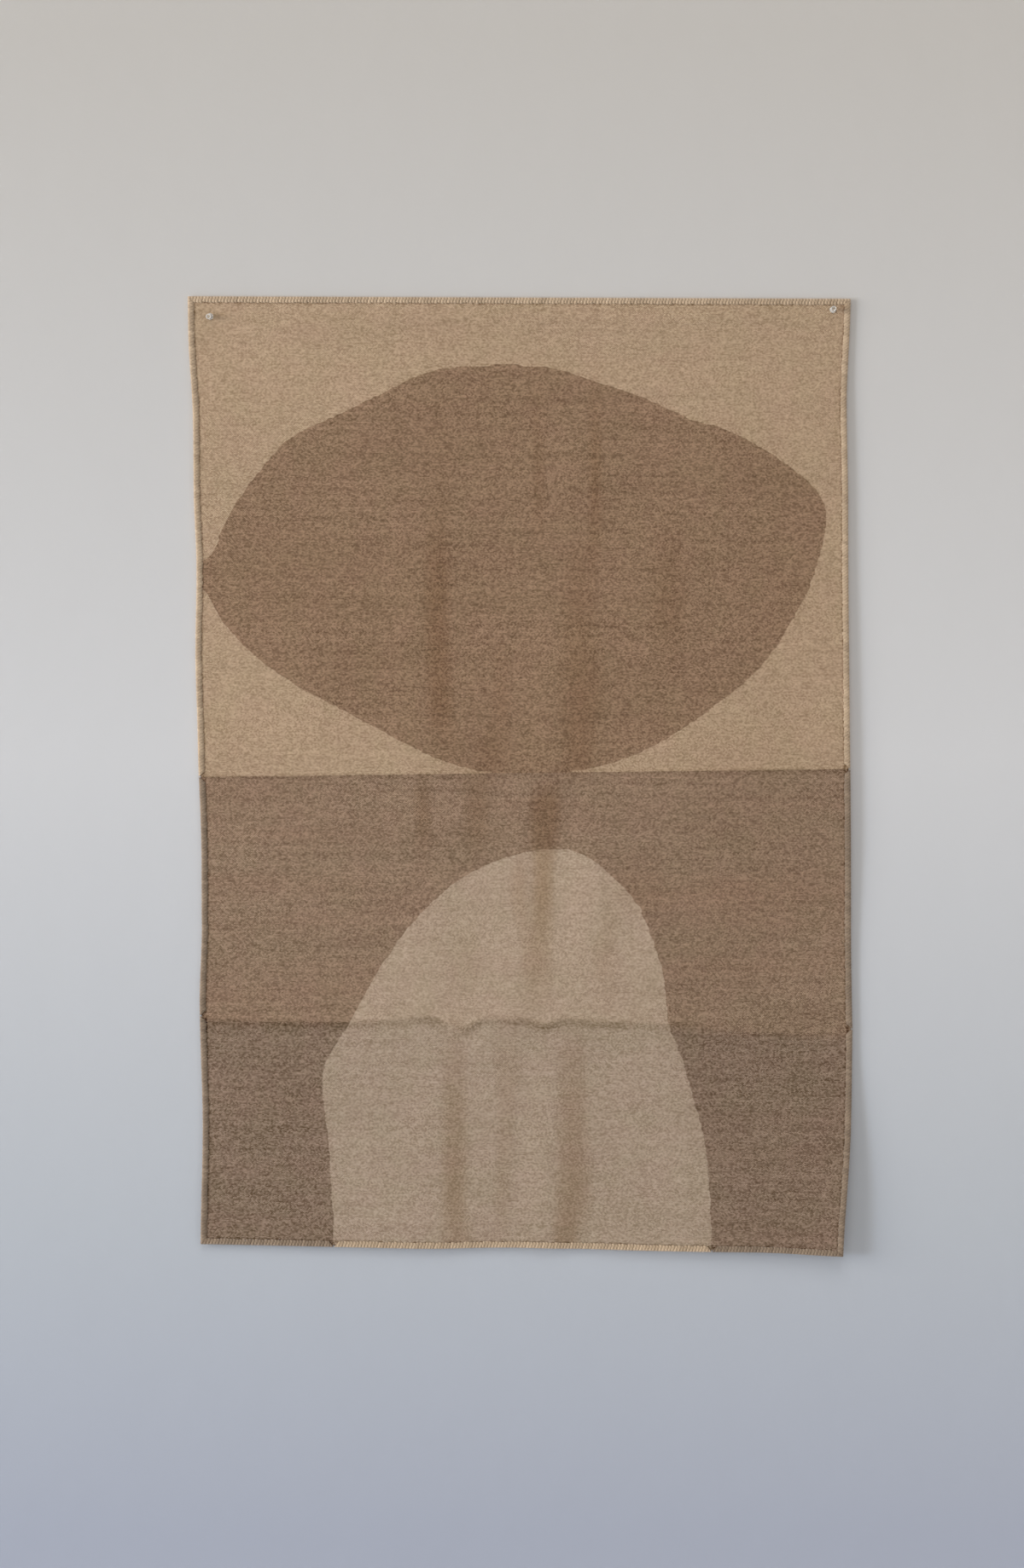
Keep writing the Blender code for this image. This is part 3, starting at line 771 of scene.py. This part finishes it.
def woven_wool(name, wool, streak_wool, heather, streaks, painted_shade_below_fold):
    """Wool of one colour in the shared weave."""
    material, tree, shader, weave = soft_wool(name, 0.9, WOOL_WEAVE, 0.6, 0.0006, 0.12)
    tree.links.new(weave.outputs["Roughness"], shader.inputs["Roughness"])
    weave.inputs["Wool"].default_value = (*wool, 1)
    weave.inputs["Streak Wool"].default_value = (*streak_wool, 1)
    weave.inputs["Heather"].default_value = heather
    weave.inputs["Streaks"].default_value = streaks
    weave.inputs["Painted Shade Below Fold"].default_value = painted_shade_below_fold
    return material


# Each area's wool and the wool of its streaks, how strong its heather and its streaks are,
# and how much painted shade darkens it below the fold
WOOLS = {
    "upper_ground_weave": woven_wool(
        "light_wool_weave", (0.402, 0.284, 0.184), (0.376, 0.263, 0.171), 0.56, 0.040, 0
    ),
    "oval_weave": woven_wool(
        "oval_wool_weave", (0.250, 0.156, 0.094), (0.224, 0.138, 0.081), 0.86, 0.105, 0
    ),
    "lower_ground_weave": woven_wool(
        "brown_wool_weave", (0.253, 0.169, 0.110), (0.237, 0.150, 0.096), 0.80, 0.120, 0.165
    ),
    "arch_weave": woven_wool(
        "arch_wool_weave", (0.396, 0.297, 0.214), (0.370, 0.274, 0.195), 0.50, 0.050, 0.11
    ),
}
WOOLS["wedge_weave"] = WOOLS["upper_ground_weave"]
SLOTS = {
    "upper_ground_weave": "light_wool",
    "wedge_weave": "light_wool",
    "oval_weave": "oval_wool",
    "lower_ground_weave": "ground_wool",
    "arch_weave": "arch_wool",
}
BENT_AT_FOLD = ("lower_ground_weave", "arch_weave")
SHARP_FROM = math.radians(50)


def bend_at_fold(piece):
    """Bakes the piece's place into its mesh; it is not attached to the hanging or to the flap."""
    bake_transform(piece)


def make_area(name, net, areas):
    """One colour area: its own cells of the net, given the cloth's thickness."""
    bm = bmesh.new()
    bm.from_mesh(net)
    bm.faces.ensure_lookup_table()
    others = [face for face, area in zip(bm.faces, areas) if area != name]
    bmesh.ops.delete(bm, geom=others, context="FACES")
    bmesh.ops.recalc_face_normals(bm, faces=bm.faces)
    if bm.faces[:][0].normal.y > 0:
        bmesh.ops.reverse_faces(bm, faces=bm.faces)
    bmesh.ops.solidify(bm, geom=bm.faces, thickness=CLOTH_BACK - CLOTH_FRONT)
    piece = add_piece(name, bm, WOOLS[name])
    mark_cloth(piece)
    hang(piece)
    piece.data.shade_smooth()
    piece.data.set_sharp_from_angle(angle=SHARP_FROM)
    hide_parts(*[node for node, woven_in in CAD_CLOTH.items() if woven_in == name])
    if name in BENT_AT_FOLD:
        bend_at_fold(piece)
    else:
        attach(piece, "hanging")


net, rows_down, rows_to_horizon = weave_net()
cell_areas = sort_cells(net, rows_down, rows_to_horizon)
soften_steps(net, cell_areas)
for area_name in SLOTS:
    make_area(area_name, net, cell_areas)
bpy.data.meshes.remove(net)


# ---- The serged edge
# Thick two-ply wool whipped over the cloth's raw edge, one slanting stitch against the
# next, about a thousand in all. Its ends go down into the cloth, and the yarn changes from
# pale to tan at the horizon and at the arch.

STITCH_PITCH = 0.0043
YARN_HALF_WIDTH = 0.0028
YARN_HALF_THICKNESS = 0.00085
STITCH_SLANT = 0.0030  # sets how far a stitch leans along the edge from front to back
STITCH_SINKS = 0.0017  # its ends go this far down into the cloth
YARN_SIDES = 6
TURN_STEPS = 4
ROUNDNESS_OF_TURN = 0.65
BINDING_LOW, BINDING_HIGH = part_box("top_binding")
BINDING_WIDTH = BINDING_HIGH.z - BINDING_LOW.z - abs(TOP_LEFT[1] - TOP_RIGHT[1])
BINDING_FRONT = BINDING_LOW.y


def stitch_path():
    """A stitch's middle line, front to back: (along the edge, in from it, depth)."""
    front = BINDING_FRONT + YARN_HALF_THICKNESS
    back = -YARN_HALF_THICKNESS
    middle = (front + back) / 2
    reach = (back - front) / 2
    # it comes up out of the cloth and lies flat across the edge, turns round it, and goes back
    points = [
        (BINDING_WIDTH, front + STITCH_SINKS),
        (BINDING_WIDTH * 0.93, front + 0.0003),
        (BINDING_WIDTH * 0.5, front),
    ]
    back_leg = [(inset, middle * 2 - depth) for inset, depth in reversed(points)]
    for step in range(TURN_STEPS + 1):
        angle = math.pi * step / TURN_STEPS
        inset = reach * (1.0 - math.sin(angle) * ROUNDNESS_OF_TURN)
        points.append((inset, middle - reach * math.cos(angle)))
    points += back_leg
    path = []
    for index, (inset, depth) in enumerate(points):
        share = index / (len(points) - 1)
        path.append((STITCH_SLANT * (share * 1.6 - 0.5), inset, depth))
    return path


def stitch_mesh():
    """One stitch, and for each of its points the place round and along the yarn."""
    bm = bmesh.new()
    path = [Vector(point) for point in stitch_path()]
    loops = []
    for index, point in enumerate(path):
        way = (path[min(index + 1, len(path) - 1)] - path[max(index - 1, 0)]).normalized()
        thick = way.cross(Vector((1, 0, 0))).normalized()
        wide = thick.cross(way).normalized()
        sides = Matrix((wide * YARN_HALF_WIDTH, thick * YARN_HALF_THICKNESS, way))
        placed = Matrix.Translation(point) @ sides.transposed().to_4x4()
        circle = bmesh.ops.create_circle(bm, segments=YARN_SIDES, radius=1, matrix=placed)
        ring = circle["verts"]
        loops.append([edge for edge in bm.edges if edge.verts[0] in ring and edge.verts[1] in ring])
    for loop, next_loop in zip(loops, loops[1:]):
        bmesh.ops.bridge_loops(bm, edges=loop + next_loop)
    bmesh.ops.holes_fill(bm, edges=loops[0] + loops[-1], sides=YARN_SIDES)
    bmesh.ops.recalc_face_normals(bm, faces=bm.faces)
    mesh = bpy.data.meshes.new("stitch")
    bm.to_mesh(mesh)
    bm.free()
    index = np.arange(len(mesh.vertices))
    around = (index % YARN_SIDES) / YARN_SIDES
    along = (index // YARN_SIDES) / (len(path) - 1)
    return mesh, around, along


def yarn_group():
    """Two plies twisted together, each stitch a little lighter or darker than the next."""
    group, given, out = new_group(
        "binding_yarn",
        {"Yarn": "Color", "Yarn Shade": "Color"},
        {"Color": "Color", "Height": "Float"},
    )
    yarn = add_node(group, "ShaderNodeAttribute", attribute_name="on_yarn").outputs["Vector"]
    tone, around, along = add_node(group, "ShaderNodeSeparateXYZ", {0: yarn}).outputs
    twist = calculate(group, "MULTIPLY", around, 2.0)
    ply = rise_and_fall(group, calculate(group, "MULTIPLY_ADD", along, 5.0, twist))
    place = add_node(group, "ShaderNodeTexCoord").outputs["Object"]
    fibre = noise_at(group, place, 900.0, 3.0, 0.6)
    streak = noise_at(group, place, 14.0, 3.0, 0.6)

    # the flanks of a stitch lie in its neighbours' shade
    angle = calculate(group, "MULTIPLY", around, math.tau)
    flank = calculate(group, "ABSOLUTE", calculate(group, "COSINE", angle))
    flank_shade = calculate(group, "MULTIPLY", calculate(group, "POWER", flank, 3.0), -0.13)

    # painted highlight along the outer turn, where fibres stand out and catch the light
    outer_painted_highlight = close_to(group, along, 0.5, 0.04, 0.20, 0.26)

    # the groove between the two plies is painted darker, as painted shade, and their crowns a
    # little lighter
    light = add_up(
        group,
        spread(group, tone, 0, 1, 0.07, -0.07),
        spread(group, ply, 0, 1, -0.13, 0.06),
        even(group, fibre, 0.10),
        even(group, streak, 0.08),
        flank_shade,
        outer_painted_highlight,
        1.0,
    )
    wool = mix_colours(group, tone, given["Yarn"], given["Yarn Shade"])
    lit_wool = mix_colours(group, 1.0, wool, grey_of(group, light), "MULTIPLY")
    group.links.new(lit_wool, out["Color"])
    group.links.new(calculate(group, "MULTIPLY_ADD", fibre, 0.4, ply), out["Height"])
    return group


BINDING_YARN = yarn_group()


def binding_wool(name, yarn, shade):
    """Two-ply wool of one colour, and the shade that some stitches lean to."""
    material, _, _, plies = soft_wool(name, 0.88, BINDING_YARN, 0.7, 0.0004, 0.25)
    plies.inputs["Yarn"].default_value = (*yarn, 1)
    plies.inputs["Yarn Shade"].default_value = (*shade, 1)
    return material


PALE_YARN = binding_wool("pale_binding_yarn", (0.470, 0.348, 0.235), (0.420, 0.304, 0.200))
TAN_YARN = binding_wool("tan_binding_yarn", (0.262, 0.190, 0.131), (0.220, 0.155, 0.104))
ARCH_RIGHT = corner("bottom_right_binding", -1, -1)
ARCH_LEFT = corner("bottom_left_binding", 1, -1)
STITCH, ROUND_YARN, ALONG_YARN = stitch_mesh()
# At a corner the stitches stop at this slope, and lap over the very tip by this much
MITRE_SLOPE = 0.85
MITRE_OVERLAP = 0.0003
# How much the stitches differ: wider or narrower, longer or shorter, and leaning
STITCH_WIDER = (0.98, 1.06)
STITCH_LONGER = (0.95, 1.10)
STITCH_LEAN = (-0.025, 0.025)


def crowd_to_mitre(points, start, way, inward, length):
    """Near a corner no point goes past the line that halves it."""
    for point in points:
        offset = point.co - Vector((start[0], 0, start[1]))
        along, inset = offset.dot(way), offset.dot(inward)
        nearest = max(inset * MITRE_SLOPE, -MITRE_OVERLAP)
        kept = min(max(along, nearest), length - nearest)
        point.co += way * (kept - along)


def whip(name, stops, material, seed):
    """Stitches side by side along the edge from stop to stop, going round clockwise."""
    chance = random.Random(seed)
    bm = bmesh.new()
    tones = []
    for start, end in zip(stops, stops[1:]):
        length = float(np.linalg.norm(end - start))
        way = Vector((*(end - start), 0)).xzy / length
        inward = Vector((way.z, 0, -way.x))
        edge_sides = Matrix((way, inward, Vector((0, 1, 0)))).transposed().to_4x4()
        count = max(1, round(length / STITCH_PITCH))
        for index in range(count):
            from_start = (index + 0.5) * length / count
            first = len(bm.verts)
            bm.from_mesh(STITCH)
            bm.verts.ensure_lookup_table()
            wider, longer = chance.uniform(*STITCH_WIDER), chance.uniform(*STITCH_LONGER)
            scale = Matrix.Diagonal((wider, longer, 1, 1))
            lean = Matrix.Rotation(chance.uniform(*STITCH_LEAN), 4, "Z")
            edge_place = Vector((start[0], 0, start[1])) + way * from_start
            placed = Matrix.Translation(edge_place) @ edge_sides @ lean @ scale
            bmesh.ops.transform(bm, matrix=placed, verts=bm.verts[first:])
            if min(from_start, length - from_start) < BINDING_WIDTH * 2:
                crowd_to_mitre(bm.verts[first:], start, way, inward, length)
            tones.append(chance.random())
    piece = add_piece(name, bm, material)
    tone = np.repeat(tones, len(STITCH.vertices))
    around, along = np.tile(ROUND_YARN, len(tones)), np.tile(ALONG_YARN, len(tones))
    keep_on_points(piece, "on_yarn", np.stack((tone, around, along), axis=1))
    hang(piece)
    piece.data.shade_smooth()
    return piece


# Each length of the edge: the corners it runs by, its yarn, its seed and the frame's nodes
# that it stands for. The two that pass the fold are only baked in place, and the rest each ride on
# one body.
PALE = (PALE_YARN, "light_binding_yarn")
TAN = (TAN_YARN, "dark_binding_yarn")
SERGING = {
    "top_serging": ([TOP_LEFT, TOP_RIGHT], PALE, 11, ["top_binding"]),
    "right_upper_serging": ([TOP_RIGHT, HORIZON_RIGHT], PALE, 12, ["right_upper_binding"]),
    "right_lower_serging": (
        [HORIZON_RIGHT, CREASE_RIGHT, BOTTOM_RIGHT], TAN, 13,
        ["right_middle_binding", "right_lower_binding"],
    ),
    "bottom_right_serging": ([BOTTOM_RIGHT, ARCH_RIGHT], TAN, 14, ["bottom_right_binding"]),
    "bottom_arch_serging": ([ARCH_RIGHT, ARCH_LEFT], PALE, 15, ["bottom_arch_binding"]),
    "bottom_left_serging": ([ARCH_LEFT, BOTTOM_LEFT], TAN, 16, ["bottom_left_binding"]),
    "left_lower_serging": (
        [BOTTOM_LEFT, CREASE_LEFT, HORIZON_LEFT], TAN, 17,
        ["left_lower_binding", "left_middle_binding"],
    ),
    "left_upper_serging": ([HORIZON_LEFT, TOP_LEFT], PALE, 18, ["left_upper_binding"]),
}
for serging_name, (stops, (yarn, slot), seed, nodes) in SERGING.items():
    serging = whip(serging_name, stops, yarn, seed)
    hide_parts(*nodes)
    if len(nodes) > 1:
        bend_at_fold(serging)
    elif serging_name.startswith("bottom"):
        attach(serging, "lower_flap")
    else:
        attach(serging, "hanging")
bpy.data.meshes.remove(STITCH)


# ---- The push pins
# Clear moulded heads, each with a plated steel needle through the cloth and into the wall.
# The frame's own turned shapes are right, so each head is a smoothed copy with its rims
# rounded, and the needles stay as they are.

RIM_ROUNDING = 0.0002
RIM_FROM = math.radians(40)


def clear_plastic():
    """Scuffed clear plastic, its rims painted milky white as a painted highlight, and its middle
    painted in the cloth's colour, as the cloth seen through it.
    """
    material, tree, shader = new_material("clear_pin_plastic", 0.12)
    shader.inputs["Transmission Weight"].default_value = 0.62
    shader.inputs["IOR"].default_value = 1.49
    # painted: the rims whiter for the ring of light on them, the middle in the cloth's colour for
    # the cloth seen through the head
    rim = spread(tree, kept_value(tree, "from_axis"), 0.0014, 0.0030, 0.0, 1.0)
    painted_ring_and_cloth = mix_colours(tree, rim, (0.62, 0.52, 0.41, 1), (0.99, 0.98, 0.96, 1))
    tree.links.new(painted_ring_and_cloth, shader.inputs["Base Color"])
    place = add_node(tree, "ShaderNodeTexCoord").outputs["Object"]
    scuffs = noise_at(tree, place, 1400.0, 3.0, 0.6)
    tree.links.new(spread(tree, scuffs, 0.35, 0.65, 0.06, 0.24), shader.inputs["Roughness"])
    return material


def needle_steel():
    """Plated wire, with fine lines drawn along it."""
    material, tree, shader = new_material("plated_needle_steel", 0.25)
    shader.inputs["Metallic"].default_value = 1.0
    place = add_node(tree, "ShaderNodeTexCoord").outputs["Object"]
    lines = drawn_noise(tree, place, (4000.0, 120.0, 4000.0), 2.0, 0.5)
    tree.links.new(spread(tree, lines, 0.3, 0.7, 0.18, 0.36), shader.inputs["Roughness"])
    steel = mix_colours(tree, lines, (0.58, 0.57, 0.56, 1), (0.70, 0.69, 0.67, 1))
    tree.links.new(steel, shader.inputs["Base Color"])
    return material


PIN_PLASTIC = clear_plastic()
PIN_STEEL = needle_steel()
for side in ("left", "right"):
    head = bmesh.new()
    head.from_mesh(frame["nodes"][side + "_pin_head"].data)
    bmesh.ops.remove_doubles(head, verts=head.verts, dist=1e-6)
    rims = [edge for edge in head.edges if edge.calc_face_angle(0) > RIM_FROM]
    bmesh.ops.bevel(
        head, geom=rims, offset=RIM_ROUNDING, segments=2, affect="EDGES", profile=0.5, material=-1
    )
    moulded = add_piece(side + "_push_pin_head", head, PIN_PLASTIC)
    moulded.data.shade_smooth()
    moulded.data.set_sharp_from_angle(angle=SHARP_FROM)
    pull = next(joint for joint in frame["joints"] if joint["name"] == side + "_pin_pull")
    axis = Vector(pull["axis"]).normalized()
    needle = frame["nodes"][side + "_pin_needle"]
    shaft = [vertex.co for vertex in needle.data.vertices]
    on_axis = sum(shaft, Vector()) / len(shaft)
    off_axis = [(vertex.co - on_axis).cross(axis).length for vertex in moulded.data.vertices]
    keep_on_points(moulded, "from_axis", off_axis)
    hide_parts(side + "_pin_head")
    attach(moulded, side + "_pin")
    needle.data.materials.clear()
    needle.data.materials.append(PIN_STEEL)
